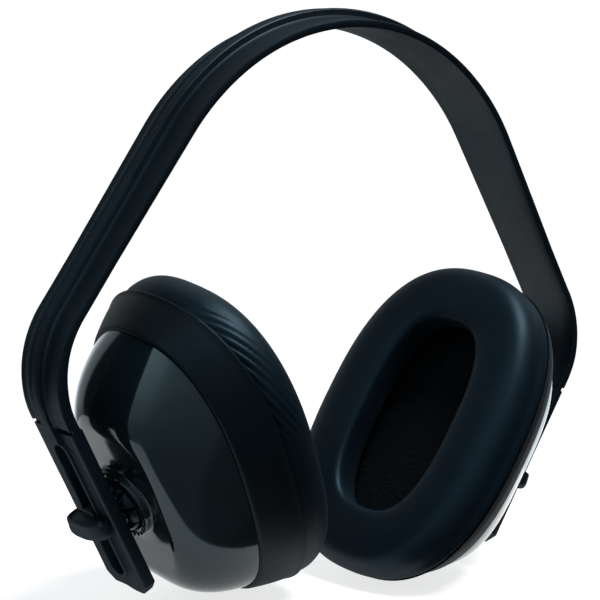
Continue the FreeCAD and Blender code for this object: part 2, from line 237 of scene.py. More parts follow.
def flange_section(station, half, rib, thick):
    """One flange from its inner corner over its edge bead to the rib's foot, (across, height)."""
    edge = edge_height(station, thick)
    foot = rib_foot(edge)
    notch = NOTCH_DEPTH * float(smoothstep(NOTCH_FROM, NOTCH_FROM + 0.25, station))
    tuck = plate_tuck(station)
    return [
        (half - 0.55, tuck),
        (half - 0.16, 0.14 + tuck),
        (half, 0.5 + tuck),
        (half, edge - 0.25 - notch),
        (half - 0.12, edge + 0.1 - notch),
        (half - 0.42, edge + 0.28 - notch),
        (half - 0.85, edge + 0.28 - notch),
        (half - 1.2, edge + 0.1 - notch),
        (half - 1.45, edge - 0.1 - notch),
        (half - 2.0, edge - 0.06 - notch),
        ((half + rib) / 2, edge + 0.3 * (foot - edge) - notch),
        (rib + 1.1, foot - 0.25 - notch),
        (rib + 0.5, foot - notch * 0.7),
        (rib + 0.12, foot + 0.35),
    ]


def band_section(station):
    """Closed section of the band at a station, as (across, height) pairs from the inner face."""
    back_thick = station > 0
    station = abs(station)
    near_crown = min(max(1 - station / WIDENING_LENGTH, 0), 1)
    tuck = plate_tuck(station)
    half = HALF_WIDTH * (1 + CROWN_WIDENING * near_crown) - tuck
    rib = 2.35 + 0.55 * near_crown
    top = RIB_TOP - RIB_TOP_FALL * float(smoothstep(140.0, 165.0, station))
    foot = [rib_foot(edge_height(station, thick)) for thick in (back_thick, not back_thick)]
    rib_top = [
        (rib, foot[0] + 0.9),
        (rib - 0.02, top - 0.45),
        (rib - 0.14, top - 0.2),
        (rib - 0.36, top - 0.14),
        (rib - 0.62, top - 0.3),
        (0.35 * rib, top - 0.62),
        (0.02 * rib, top - 0.55),
        (-0.06 * rib, top - 0.5),
        (-0.12 * rib, top - 0.9),
        (-0.3 * rib, top - 0.9),
        (-0.36 * rib, top - 0.42),
        (-0.48 * rib, top - 0.12),
        (-0.66 * rib, top),
        (-0.84 * rib, top - 0.16),
        (-0.95 * rib, top - 0.5),
        (-rib, foot[1] + 0.9),
    ]
    back = flange_section(station, half, rib, back_thick)
    front = flange_section(station, half, rib, not back_thick)
    front = [(-across, height) for across, height in reversed(front)]
    inner = [(-half * 0.5, tuck), (0.0, tuck), (half * 0.5, tuck)]
    return back + rib_top + front + inner


def band_stations():
    """Stations of the sweep, closer together where the band bends and at its cross notches."""
    half = list(np.arange(1.5, 132.0, 1.9)) + list(np.arange(132.0, 161.5, 1.1))
    half += [161.6, 161.9, NOTCH_FROM, 162.12, NOTCH_FROM + 0.25, 162.4]
    half += [PLATE_START - 0.12, PLATE_START, 164.6, 167.6]
    return [-station for station in reversed(half)] + [0.0] + half


def band_sweep():
    loops = []
    for station in band_stations():
        loop = []
        lean = LEAN * float(1 - smoothstep(150.0, NOTCH_FROM, abs(station)))
        for across, height in band_section(station):
            x, z = band_point(station if station else 1e-9, height)
            loop.append((x, across - lean, z))
        loops.append(loop)
    verts, faces = skin_loops(loops)
    return make_object("sprung_band", verts, faces)


def plate_rays():
    """Origins and directions that fan out from the slot's middle line to the end plate's outline."""
    top, bottom = SLOT_FROM + SLOT_HALF, SLOT_TO - SLOT_HALF
    corner_up = math.degrees(math.atan2(HALF_WIDTH, top - PLATE_START))
    corner_in = math.degrees(math.atan2(HALF_WIDTH - CHAMFER, PLATE_END - bottom))
    corner_out = math.degrees(math.atan2(HALF_WIDTH, PLATE_END - CHAMFER - bottom))
    corners = [sign * corner for sign in (-1, 1) for corner in (corner_in, corner_out)]
    down = sorted(set(list(np.linspace(-90, 90, 25)) + corners))
    rays = [(bottom, angle) for angle in down]
    rays += [(station, 90.0) for station in np.linspace(bottom, top, 22)[1:-1]]
    up = sorted(set(list(np.linspace(90, 270, 25)) + [180 - corner_up, 180 + corner_up]))
    rays += [(top, angle) for angle in up]
    rays += [(station, 270.0) for station in np.linspace(top, bottom, 22)[1:-1]]
    return rays


def plate_reach(origin, angle, trim):
    """Distance from the slot's middle line to the end plate's outline, moved in by trim."""
    cosine, sine = math.cos(math.radians(angle)), math.sin(math.radians(angle))
    reach = [1e9]
    if abs(sine) > 1e-9:
        reach.append((HALF_WIDTH - trim) / abs(sine))
    if cosine > 1e-9:
        reach.append((PLATE_END - trim - origin) / cosine)
    if cosine < -1e-9:
        reach.append((origin - PLATE_START) / -cosine)
    slope = cosine + abs(sine)
    if cosine > 1e-9 and slope > 1e-9:
        reach.append((PLATE_END + HALF_WIDTH - CHAMFER - 1.4 * trim - origin) / slope)
    return min(reach)


# end plate's section from the slot's wall to the outline: (distance from the slot's wall or, once
# negative, in from the outline; height on the thin side; height on the thick side)
PLATE_PROFILE = (
    (0.0, 0.3, 0.3), (0.0, 2.0, 1.8), (0.0, 3.7, 3.6), (0.08, 3.88, 3.78), (0.25, 4.0, 3.9),
    (0.6, 4.0, 3.9), (0.85, 3.94, 3.84), (1.0, 3.8, 3.7), (1.1, 3.6, 3.4), (1.25, 3.0, 3.0),
    (1.5, 2.72, 2.82), (2.4, 2.6, 2.8), (-2.4, 2.55, 2.86), (-1.95, 2.55, 3.05),
    (-1.55, 2.56, 3.42), (-1.3, 2.6, 3.55), (-1.0, 2.72, 3.58), (-0.6, 2.8, 3.5),
    (-0.3, 2.74, 3.32), (-0.08, 2.56, 3.05), (0.0, 2.3, 2.8),
)
FIRST_OUTER = 12  # index of the profile's first point that is measured from the outline
PLATE_UNDERSIDE = (
    (0.0, 0.4, 0.0), (-0.12, 0.12, -0.36), (-0.5, 0.0, -0.5), (-2.2, 0.0, -0.3),
    (1.2, 0.0, 0.0), (0.25, 0.0, 0.0),
)


def end_plate(side):
    """Flat end of the band: slot, raised rim, recess, edge flange and bevelled tip."""
    sign = -1 if side == "left" else 1
    rays = plate_rays()
    loops = []
    profile = PLATE_PROFILE + PLATE_UNDERSIDE
    for index, (distance, thin_height, thick_height) in enumerate(profile):
        from_outline = FIRST_OUTER <= index < len(profile) - 2
        loop = []
        for origin, angle in rays:
            reach = plate_reach(origin, angle, -distance) if from_outline else SLOT_HALF + distance
            thick = float(smoothstep(-0.35, 0.55, sign * math.sin(math.radians(angle))))
            height = thin_height + (thick_height - thin_height) * thick
            station = origin + reach * math.cos(math.radians(angle))
            x, z = band_point(sign * station, height)
            loop.append((x, reach * math.sin(math.radians(angle)), z))
        loops.append(loop)
    verts, faces = skin_loops(loops, ring=True)
    return make_object(f"{side}_end_plate", verts, faces)


def headband():
    band = band_sweep()
    for side in SIDES:
        unite(band, end_plate(side))
    return shade(band, 32.0)


# ---------------------------------------------------------------- ovals and cups

AROUND, AROUND_FINE = 144, 720
TURNS, TURNS_FINE = (
    np.linspace(0, 2 * np.pi, count, endpoint=False) for count in (AROUND, AROUND_FINE)
)
CUP_DROP = 1.8
RIM_POWER = 2.47
SHELL_FROM, SHELL_TO = 7.9, 27.9
SHELL_WALL = 2.4


def oval(length, width, power, depth, turns=TURNS):
    """Closed oval at a depth from the end plate's inner face, in the cup's local frame."""
    cosine, sine = np.cos(turns), np.sin(turns)
    radius = rounded_reach(cosine, sine, power, length, width)
    height = np.broadcast_to(depth - BALL_DEPTH, radius.shape)
    return np.stack([CUP_DROP + radius * cosine, radius * sine, height], 1)


def round_loop(angles, reach, height):
    """Loop about the local z axis whose reach and height may vary with the angle."""
    height = np.broadcast_to(height, angles.shape)
    return np.stack([reach * np.cos(angles), reach * np.sin(angles), height], 1)


def circle(radius, height):
    return round_loop(TURNS, radius, height)


# the shell's outline at the face and at the rim: (depth, half length, half width)
FACE_OVAL, RIM_OVAL = (7.91, 24.69, 15.47), (27.86, 46.59, 29.89)


def shell_oval(depth, inset=0.0):
    """The shell's outline at a depth, moved in by inset."""
    (top, short, narrow), (bottom, long, wide) = FACE_OVAL, RIM_OVAL
    share = max((depth - top) / (bottom - top), 0.0)
    length = short + (long - short) * share**0.515
    width = narrow + (wide - narrow) * share**0.611
    return oval(length - inset, width - inset, 3.47 - share, depth)


FOOT_SHORTENING, FRONT_FULLNESS = 2.8, 1.0


def trim_right(side, verts):
    """Makes the right cup's shell and ring a little shorter at the foot and fuller in front."""
    if side == "left":
        return verts
    verts = np.array(verts, dtype=float)
    depth = verts[:, 2] + BALL_DEPTH
    shorter = smoothstep(8, 14, depth) * (1 - smoothstep(33, 44, depth))
    fuller = smoothstep(8, 30, depth) * (1 - 0.6 * smoothstep(37, 40.2, depth))
    verts[:, 0] -= FOOT_SHORTENING * smoothstep(0, 56, verts[:, 0]) * shorter
    verts[:, 1] += FRONT_FULLNESS * smoothstep(4, 26, verts[:, 1]) * fuller
    return verts


SEAT_RADIUS = 9.15
# (radius, local height) round the ball's axis: the collar's outside, and the back of the seat
COLLAR = (
    (9.2, -1.75), (9.5, -1.95), (10.5, -1.95), (10.95, -1.8), (11.15, -1.4), (11.2, -0.6),
    (11.25, 0.2), (11.5, 0.62), (12.0, 0.8),
)
SOCKET_WELL = ((14.0, 3.9), (11.6, 3.8), (11.3, 5.0), (10.6, 9.2), (8.0, 9.5))


def cup_shell(side):
    """Polished shell: seat for the socket, collar, face, bulging wall, rim and hollow inside."""
    seat = [circle(radius, 7.2) for radius in (0.01, 3.0, 5.2)]
    for angle in np.radians([-48, -36, -24, -12, 0, 9]):
        seat.append(circle(SEAT_RADIUS * math.cos(angle), -SEAT_RADIUS * math.sin(angle)))
    collar = [circle(*point) for point in COLLAR]
    face = []
    for share in (0.3, 0.6, 0.8, 0.92):
        face.append(collar[-1] * (1 - share) + shell_oval(SHELL_FROM + 0.02) * share)
    shares = np.concatenate([[0.0, 0.002, 0.008, 0.02, 0.04, 0.07], np.linspace(0.11, 1, 30)])
    wall = [shell_oval(SHELL_FROM + (SHELL_TO - SHELL_FROM) * share) for share in shares[:-1]]
    rim = [(27.7, 0.0), (27.86, 0.12), (SHELL_TO, 0.4), (SHELL_TO, 1.9), (27.75, 2.3)]
    rim = [shell_oval(depth, inset) for depth, inset in rim]
    inside = [shell_oval(depth, SHELL_WALL) for depth in (24.0, 20.0, 16.0, 12.8, 11.0)]
    inside += [circle(*point) for point in SOCKET_WELL]
    verts, faces = skin_loops(seat + collar + face + wall + rim + inside)
    return make_object(f"{side}_cup_shell_body", trim_right(side, verts), faces, FRAMES[side]["cup"])


RING_FROM, RING_DEPTH = 27.95, 12.2
# the ring's top and inside: (half length, half width, depth)
RING_INSIDE = (
    (51.9, 37.5, 40.08), (51.6, 37.2, 40.2), (46.0, 29.3, 40.2), (45.7, 29.0, 40.0),
    (45.7, 29.0, 36.6), (42.7, 26.0, 36.6), (42.7, 26.0, 29.0), (42.9, 26.2, 27.95),
)


def seal_ring(side):
    """Matt flared ring between the shell's rim and the cushion."""
    outer = []
    lip_height = 0.32 if side == "left" else 0.1
    ends = [0.0, 0.012, 0.03, 0.06], [0.93, 0.955, 0.975]
    for share in np.concatenate([ends[0], np.linspace(0.1, 0.9, 9), ends[1]]):
        grow = 1 - (1 - share) ** 1.05
        swell = -0.55 * math.exp(-share / 0.012) + 0.25 * math.sin(math.pi * share)
        swell += lip_height * float(smoothstep(0.9, 0.955, share))
        length, width = 47.6 + 4.1 * grow + swell, 30.9 + 6.4 * grow + swell
        outer.append(oval(length, width, RIM_POWER, RING_FROM + RING_DEPTH * share))
    inner = [oval(length, width, RIM_POWER, depth) for length, width, depth in RING_INSIDE]
    verts, faces = skin_loops(outer + inner, ring=True)
    return make_object(f"{side}_seal_ring_body", trim_right(side, verts), faces, FRAMES[side]["cup"])


# section of the cushion, from the outer seam over the crown to the foot of the ear opening:
# (share of the way from the ear opening's wall, 0, to the outside, 1; depth)
CUSHION_SECTION = (
    (0.955, 40.9), (0.985, 41.0), (1.0, 41.45), (1.022, 42.2), (1.04, 43.3), (1.052, 44.8),
    (1.05, 46.5), (1.033, 48.2), (1.0, 49.8), (0.95, 51.2), (0.885, 52.25), (0.805, 52.95),
    (0.715, 53.35), (0.62, 53.55), (0.52, 53.62), (0.42, 53.62), (0.32, 53.55), (0.235, 53.45),
    (0.165, 53.3), (0.11, 53.1), (0.068, 52.8), (0.036, 52.3), (0.015, 51.6), (0.004, 50.6),
    (0.0, 49.2), (0.0, 47.6), (0.012, 46.0), (0.035, 44.4), (0.06, 43.0), (0.08, 41.6),
)
SECTION_STEPS = 3


def fine_section():
    """The cushion's section with points added between its own by a smooth closed curve."""
    points = np.array(CUSHION_SECTION)
    fine = []
    for k in range(len(points)):
        before, here, after, beyond = (points[(k + j) % len(points)] for j in (-1, 0, 1, 2))
        for t in np.arange(SECTION_STEPS) / SECTION_STEPS:
            if k == len(points) - 1:
                fine.append(here + (after - here) * t)
                continue
            if k == 0:
                before = here
            if k == len(points) - 2:
                beyond = after
            linear = (after - before) * t
            square = (2 * before - 5 * here + 4 * after - beyond) * t**2
            cube = (3 * here - before - 3 * after + beyond) * t**3
            fine.append(0.5 * (2 * here + linear + square + cube))
    return fine


CUSHION_SEAM, CUSHION_CROWN = 41.0, 47.3
# half sizes of the ear opening and of the outside, and the power of the opening's oval
OPENING, OUTSIDE = (32.4, 17.8), (50.9, 36.0)
OPENING_POWER = 2.785
SKIN_THICKNESS = 1.3
CREASE_SLANT = 3.2
# patches of creases in the cushions' walls: (from, to in degrees round the oval, strength)
CREASES = {
    "left": ((190, 254, 0.62), (22, 64, 0.4), (118, 150, 0.35)),
    "right": ((196, 240, 0.3), (300, 338, 0.3), (262, 280, 0.15)),
}


def crease_push(side, depth):
    """Depth of the slanting creases along the cushion's wall at one depth, all the way round."""
    rng = np.random.default_rng(11 if side == "left" else 23)
    degrees = np.degrees(TURNS_FINE)
    fade = float(smoothstep(CUSHION_SEAM, 41.8, depth) * (1 - smoothstep(44.5, 49.6, depth)))
    total = np.zeros(AROUND_FINE)
    steps = np.diff(oval(51, 36.5, RIM_POWER, 45.0, TURNS_FINE), axis=0)
    run = np.concatenate([[0.0], np.cumsum(np.linalg.norm(steps, axis=1))])
    for start, stop, strength in CREASES[side]:
        window = smoothstep(start, start + 9, degrees) * (1 - smoothstep(stop - 9, stop, degrees))
        wander = rng.uniform(0.6, 1.1) * np.sin(run / rng.uniform(6, 9) + rng.uniform(0, 6))
        slant = CREASE_SLANT * (depth - CUSHION_SEAM)
        phase = (run - slant) * 2 * np.pi / rng.uniform(6.4, 7.2) + wander
        uneven = 0.75 + 0.25 * np.sin(run / rng.uniform(3, 5) + rng.uniform(0, 6))
        total += strength * window * uneven * ((0.5 + 0.5 * np.cos(phase)) ** 2.0 - 0.3)
    return total * fade


def cushion_loops(side, inset, creased):
    """Ovals of the cushion's skin, or of the foam inside it with inset as the skin's thickness."""
    loops = []
    full, foot = (0.35, 0.0) if side == "left" else (0.0, 1.8)
    for share, depth in fine_section():
        outside = float(smoothstep(0.4, 0.9, share))
        fuller = full * float(smoothstep(CUSHION_SEAM, 45.0, depth)) * outside
        length, width = (a + (b - a) * share + fuller for a, b in zip(OPENING, OUTSIDE))
        power = OPENING_POWER + (RIM_POWER - OPENING_POWER) * share
        pull = inset * (2 * min(max(share, 0), 1) - 1)
        level = depth + inset * (CUSHION_CROWN - depth) / 6.5
        loop = oval(length - pull, width - pull, power, level, TURNS_FINE)
        outward = loop - np.array([CUP_DROP, 0, 0])
        outward[:, 2] = 0
        outward /= np.linalg.norm(outward, axis=1)[:, None]
        if creased and share > 0.8:
            loop = loop - outward * crease_push(side, depth)[:, None]
        low = float(smoothstep(0.9, 0.95, share)) * (1 - float(smoothstep(CUSHION_SEAM, 45.5, depth)))
        loop[:, 1] += foot * low * smoothstep(4, 26, loop[:, 1])
        loop[:, 0] += full * 1.6 * outside
        loops.append(loop)
    return loops


def nearest(points):
    tree = KDTree(len(points))
    for index, point in enumerate(points):
        tree.insert(point, index)
    tree.balance()
    return tree


def spread(tree, place, values, count, width):
    """Mean of the values at the nearest points, weighted by how near they are."""
    near = tree.find_n(place, count)
    weights = np.exp(-np.array([distance for _, _, distance in near]) ** 2 / (2 * width**2)) + 1e-9
    return (values[[index for _, index, _ in near]] * weights[:, None]).sum(0) / weights.sum()


# cloth simulation, in metres except the depth; on a cushion this small its pressure moves the
# skin by 0.15 mm at most, far below the cap, so the section and the creases give the form
CLOTH_VOXEL = 0.0022
CLOTH_PRESSURE = 4.0
CLOTH_CAP = 0.0008
CLOTH_FRAMES = 20
PINNED_BELOW = 42.6


def inflate(obj, frame_matrix):
    """Blows up a closed cushion as cloth, pinned along its seam: its points and their moves."""
    modifier = obj.modifiers.new("Remesh", "REMESH")
    modifier.mode = "VOXEL"
    modifier.voxel_size = CLOTH_VOXEL
    apply_all(obj)
    start = np.array([vertex.co[:] for vertex in obj.data.vertices])
    local = (start - frame_matrix[:3, 3]) @ frame_matrix[:3, :3] / MM
    pinned = np.flatnonzero(local[:, 2] < PINNED_BELOW - BALL_DEPTH)
    group = obj.vertex_groups.new(name="seam")
    group.add([int(index) for index in pinned], 1.0, "REPLACE")
    modifier = obj.modifiers.new("Cloth", "CLOTH")
    modifier.settings.quality = 6
    modifier.settings.mass = 0.2
    modifier.settings.use_pressure = True
    modifier.settings.uniform_pressure_force = CLOTH_PRESSURE
    modifier.settings.vertex_group_mass = "seam"
    modifier.settings.effector_weights.gravity = 0.0
    modifier.point_cache.frame_start, modifier.point_cache.frame_end = 1, CLOTH_FRAMES
    scene = bpy.context.scene
    for step in range(1, CLOTH_FRAMES + 1):
        scene.frame_set(step)
    graph = bpy.context.evaluated_depsgraph_get()
    swollen = obj.evaluated_get(graph).to_mesh()
    shift = np.array([vertex.co[:] for vertex in swollen.vertices]) - start
    scene.frame_set(1)
    reach = np.linalg.norm(shift, axis=1)
    shift *= (np.minimum(reach, CLOTH_CAP) / np.maximum(reach, 1e-12))[:, None]
    tree = nearest(start)
    for _ in range(2):
        shift = np.array([spread(tree, Vector(point), shift, 24, 0.003) for point in start])
    bpy.data.objects.remove(obj)
    return start, shift


def cushion_skin(side):
    """Vinyl skin from its section and creases, plus the slight swelling of a coarse cloth copy."""
    verts, faces = skin_loops(cushion_loops(side, 0.0, True), ring=True)
    skin = make_object(f"{side}_cushion", verts, faces, FRAMES[side]["cup"], 60.0)
    plain, plain_faces = skin_loops(cushion_loops(side, 0.0, False), ring=True)
    coarse = make_object(f"{side}_cushion_cloth", plain, plain_faces, FRAMES[side]["cup"], 60.0)
    start, shift = inflate(coarse, FRAMES[side]["cup"])
    tree = nearest(start)
    for vertex in skin.data.vertices:
        vertex.co += Vector(spread(tree, vertex.co, shift, 8, 0.0016))
    return skin


def cushion_foam(side):
    loops = cushion_loops(side, SKIN_THICKNESS, False)[::SECTION_STEPS]
    verts, faces = skin_loops(loops, ring=True)
    return make_object(f"{side}_cushion_foam_ring", verts, faces, FRAMES[side]["cup"], 60.0)


def foam_disc(name, side, sections):
    verts, faces = skin_loops([oval(*section) for section in sections])
    return make_object(name, verts, faces, FRAMES[side]["cup"], 60.0)


def ear_liner(side):
    length, width = 41.6, 25.0
    sections = [(0.1, 0.1, 2, 33.3), (20, 12, 2.4, 33.3), (length - 1, width - 1, RIM_POWER, 33.3)]
    sections += [(length, width, RIM_POWER, 33.7), (length - 0.4, width - 0.4, RIM_POWER, 34.3)]
    sections += [(length - 3, width - 3, RIM_POWER, 34.6), (30, 16, 2.7, 34.5), (24, 11, 2.6, 34.9)]
    sections += [(12, 5, 2.4, 35.3), (0.1, 0.1, 2, 35.4)]
    return foam_disc(f"{side}_liner", side, sections)


def cup_foam(side):
    sections = [(0.1, 0.1, 2, 18.6), (34, 18, 2.8, 18.6), (36, 20, 2.7, 19.4), (39, 22.5, 2.6, 25.5)]
    sections += [(41.4, 24.8, RIM_POWER, 32.4), (40.5, 24, RIM_POWER, 33.2), (0.1, 0.1, 2, 33.2)]
    return foam_disc(f"{side}_foam_block", side, sections)


# ---------------------------------------------------------------- small parts


KNOB_LIFT = 3.9  # height of the knob's back, at the slot's rim, above the plate's inner face
KNOB_HALF, KNOB_PROUD = 8.4, 5.2
# (inset of the outline, distance along the slot) round the tab from its upper face to its lower
KNOB_PROFILE = (
    (2.3, -2.25), (1.25, -2.3), (1.0, -2.45), (0.85, -2.68), (0.6, -2.76), (0.35, -2.72),
    (0.12, -2.55), (0.0, -2.2), (-0.15, -0.8), (-0.32, 0.5), (-0.3, 1.5), (-0.05, 2.25),
    (0.5, 2.75), (1.4, 3.0), (2.6, 3.05),
)
TONGUE_HALF = (4.4, 2.85)
NUB_RADIUS, NUB_PLACE = 0.95, (-2.5, -7.5)


def slider_knob(side):
    """Round-fronted finger tab, lipped on top, with a nub and its tongue through the slot."""
    base = -BALL_DEPTH - KNOB_LIFT
    loops = []
    for inset, along in KNOB_PROFILE:
        half, proud = KNOB_HALF - inset, KNOB_PROUD - inset
        loop = []
        for angle in np.radians(np.linspace(0, 180, 41)):
            cosine, sine = math.cos(angle), math.sin(angle)
            power = 2.05 + 1.95 * float(smoothstep(-0.2, 0.6, cosine))
            reach = rounded_reach(cosine, sine, power, half, proud)
            loop.append((along, reach * cosine, base - reach * sine))
        chord = np.linspace(-half, half, 14)[1:-1]
        loop += [(along, across, base) for across in chord]
        loops.append(loop)
    verts, faces = skin_loops(loops)
    knob = make_object(f"{side}_knob", verts, faces, FRAMES[side]["plate"])
    tongue_loops = []
    for grow, height in ((-0.4, base - 1.0), (0.0, base - 0.6), (0.0, -6.95), (-0.25, -6.8)):
        loop = []
        for angle in np.radians(np.arange(0, 360, 10)):
            cosine, sine = math.cos(angle), math.sin(angle)
            reach = rounded_reach(cosine, sine, 8)
            x, y = (TONGUE_HALF[0] + grow) * cosine, (TONGUE_HALF[1] + grow) * sine
            loop.append((x * reach, y * reach, height))
        tongue_loops.append(loop)
    verts, faces = skin_loops(tongue_loops)
    unite(knob, make_object("tongue", verts, faces, FRAMES[side]["plate"]))
    nub_loops = []
    for lean in np.radians(np.arange(-90, 91, 15)):
        radius = NUB_RADIUS * max(math.cos(lean), 0.02)
        height = base - 1.5 + NUB_RADIUS * math.sin(lean)
        loop = []
        for angle in np.radians(np.arange(0, 360, 15)):
            x, y = NUB_PLACE[0] + radius * math.cos(angle), NUB_PLACE[1] + radius * math.sin(angle)
            loop.append((x, y, height))
        nub_loops.append(loop)
    verts, faces = skin_loops(nub_loops)
    unite(knob, make_object("nub", verts, faces, FRAMES[side]["plate"]))
    return shade(knob, 35.0)


FINGERS, FINGER_STEPS = 10, 24
RACE_OUTER, RACE_INNER = 9.0, 5.12
RACE_BACK = 4.4


def socket_ring(side):
    """Ball race with a crown of leaf-like fingers round its mouth."""
    angles = np.linspace(0, 2 * np.pi, FINGERS * FINGER_STEPS, endpoint=False)
    phase = (angles * FINGERS / (2 * np.pi)) % 1.0
    top = -0.4 - 3.9 * np.clip(np.sin(np.pi * phase), 0, 1) ** 0.45
    loops = []
    for share in np.linspace(0, 1, 9):
        height = 4.3 + (top - 4.3) * share
        reach = np.sqrt(np.maximum(RACE_OUTER**2 - height**2, 1.0))
        loops.append(round_loop(angles, reach, height))
    for drop, pull in ((0.3, 0.45), (0.3, 1.1), (-0.2, 1.7)):
        reach = np.sqrt(np.maximum(RACE_OUTER**2 - top**2, 1.0)) - pull
        loops.append(round_loop(angles, reach, top - drop))
    start = np.maximum(top + 0.4, -3.0)
    for share in np.linspace(0.05, 1, 8):
        height = start + (3.4 - start) * share
        reach = np.sqrt(np.maximum(RACE_INNER**2 - height**2, 1.0))
        loops.append(round_loop(angles, reach, height))
    loops += [round_loop(angles, radius, RACE_BACK) for radius in (3.8, 7.7)]
    verts, faces = skin_loops(loops, ring=True)
    return make_object(f"{side}_race", verts, faces, FRAMES[side]["socket"], 50.0)


TEETH, TOOTH_STEPS = 28, 12
TOOTH_PEAK = 0.7  # share of a tooth's pitch at which it is longest
# (radius, growth of the radius at a tooth's tip, height)
TEETH_SECTION = (
    (9.62, 0.0, -1.9), (9.62, 0.0, -2.1), (9.8, 0.0, -2.22), (10.15, 0.35, -2.26),
    (10.35, 0.85, -2.2), (10.3, 0.85, -2.05), (10.1, 0.4, -1.9),
)


def collar_fringe(side):
    """Ring of small blade-like teeth pressed round the mouth of the shell's collar."""
    count = TEETH * TOOTH_STEPS
    angles = np.linspace(0, 2 * np.pi, count, endpoint=False)
    phase = (np.arange(count) % TOOTH_STEPS) / TOOTH_STEPS
    blade = np.where(phase < TOOTH_PEAK, phase / TOOTH_PEAK, (1 - phase) / (1 - TOOTH_PEAK)) ** 0.8
    loops = []
    for radius, grow, height in TEETH_SECTION:
        loops.append(round_loop(angles, radius + grow * blade, height - 0.12 * grow * blade))
    verts, faces = skin_loops(loops, ring=True)
    return make_object(f"{side}_collar_teeth", verts, faces, FRAMES[side]["cup"], 25.0)


# ---------------------------------------------------------------- materials


def new_material(name, base, roughness, specular=0.5, sheen=0.0, tone=(1, 1, 1)):
    """Plastic-like material, with its nodes, its links and its shader."""
    material = bpy.data.materials.new(name)
    material.use_nodes = True
    shader = material.node_tree.nodes["Principled BSDF"]
    shader.inputs["Base Color"].default_value = (*base, 1)
    shader.inputs["Roughness"].default_value = roughness
    shader.inputs["Specular IOR Level"].default_value = specular
    shader.inputs["Specular Tint"].default_value = (*tone, 1)
    shader.inputs["Sheen Weight"].default_value = sheen
    return material, material.node_tree.nodes, material.node_tree.links, shader


def noise(nodes, links, scale, detail, stretch=(1, 1, 1)):
    coordinates = nodes.new("ShaderNodeTexCoord")
    mapping = nodes.new("ShaderNodeMapping")
    mapping.inputs["Scale"].default_value = stretch
    texture = nodes.new("ShaderNodeTexNoise")
    texture.inputs["Scale"].default_value = scale
    texture.inputs["Detail"].default_value = detail
    links.new(coordinates.outputs["Object"], mapping.inputs["Vector"])
    links.new(mapping.outputs["Vector"], texture.inputs["Vector"])
    return texture.outputs["Fac"]


def cells(nodes, links, scale):
    """Distance to the nearest of many scattered points, for pores and grains."""
    coordinates = nodes.new("ShaderNodeTexCoord")
    texture = nodes.new("ShaderNodeTexVoronoi")
    texture.inputs["Scale"].default_value = scale
    links.new(coordinates.outputs["Object"], texture.inputs["Vector"])
    return texture.outputs["Distance"]


def remap(nodes, links, source, low, high, from_low=0.0, from_high=1.0):
    node = nodes.new("ShaderNodeMapRange")
    node.inputs["From Min"].default_value = from_low
    node.inputs["From Max"].default_value = from_high
    node.inputs["To Min"].default_value = low
    node.inputs["To Max"].default_value = high
    links.new(source, node.inputs["Value"])
    return node.outputs["Result"]


def tint(nodes, links, shader, scale, detail, dark, light):
    """Mottles the base colour between two shades."""
    ramp = nodes.new("ShaderNodeValToRGB")
    ramp.color_ramp.elements[0].position = 0.3
    ramp.color_ramp.elements[1].position = 0.7
    ramp.color_ramp.elements[0].color = (*dark, 1)
    ramp.color_ramp.elements[1].color = (*light, 1)
    links.new(noise(nodes, links, scale, detail), ramp.inputs["Fac"])
    links.new(ramp.outputs["Color"], shader.inputs["Base Color"])


def matt_at_grazing(nodes, links, source, extra):
    """Roughness that rises where the surface is seen edge on."""
    layer = nodes.new("ShaderNodeLayerWeight")
    rise = remap(nodes, links, layer.outputs["Facing"], 0.0, extra, 0.35, 0.8)
    total = nodes.new("ShaderNodeMath")
    total.operation = "ADD"
    links.new(source, total.inputs[0])
    links.new(rise, total.inputs[1])
    return total.outputs[0]


def bumps(nodes, links, shader, layers):
    """Chain of bump nodes from (height, strength, distance in metres)."""
    last = None
    for height, strength, distance in layers:
        node = nodes.new("ShaderNodeBump")
        node.inputs["Strength"].default_value = strength
        node.inputs["Distance"].default_value = distance
        links.new(height, node.inputs["Height"])
        if last is not None:
            links.new(last, node.inputs["Normal"])
        last = node.outputs["Normal"]
    links.new(last, shader.inputs["Normal"])


COOL = (0.42, 0.76, 1.0)


def band_material():
    material, nodes, links, shader = new_material(
        "satin_black_plastic", (0.0012, 0.0026, 0.0044), 0.42, specular=0.19, tone=COOL
    )
    tint(nodes, links, shader, 45, 4, (0.001, 0.002, 0.0034), (0.0016, 0.003, 0.0048))
    rough = remap(nodes, links, noise(nodes, links, 180, 5), 0.36, 0.48)
    links.new(matt_at_grazing(nodes, links, rough, 0.45), shader.inputs["Roughness"])
    grain, wave = noise(nodes, links, 2600, 2), noise(nodes, links, 90, 2)
    bumps(nodes, links, shader, [(grain, 0.12, 0.0001), (wave, 0.05, 0.0006)])
    return material


def shell_material():
    material, nodes, links, shader = new_material(
        "polished_green_grey_plastic", (0.0026, 0.0058, 0.0072), 0.09, specular=0.4,
        tone=(0.68, 0.92, 1.0)
    )
    tint(nodes, links, shader, 25, 2, (0.0022, 0.0052, 0.0066), (0.003, 0.0064, 0.0078))
    links.new(remap(nodes, links, noise(nodes, links, 300, 6), 0.07, 0.13), shader.inputs["Roughness"])
    bumps(nodes, links, shader, [(noise(nodes, links, 60, 2), 0.02, 0.0006)])
    return material


def ring_material():
    material, nodes, links, shader = new_material(
        "grained_matt_plastic", (0.0008, 0.0018, 0.0028), 0.48, specular=0.15, tone=COOL
    )
    tint(nodes, links, shader, 60, 3, (0.001, 0.0016, 0.0023), (0.0014, 0.0024, 0.0033))
    rough = remap(nodes, links, noise(nodes, links, 500, 4), 0.42, 0.52)
    links.new(matt_at_grazing(nodes, links, rough, 0.2), shader.inputs["Roughness"])
    bumps(nodes, links, shader, [(cells(nodes, links, 2200), 0.35, 0.00012)])
    return material


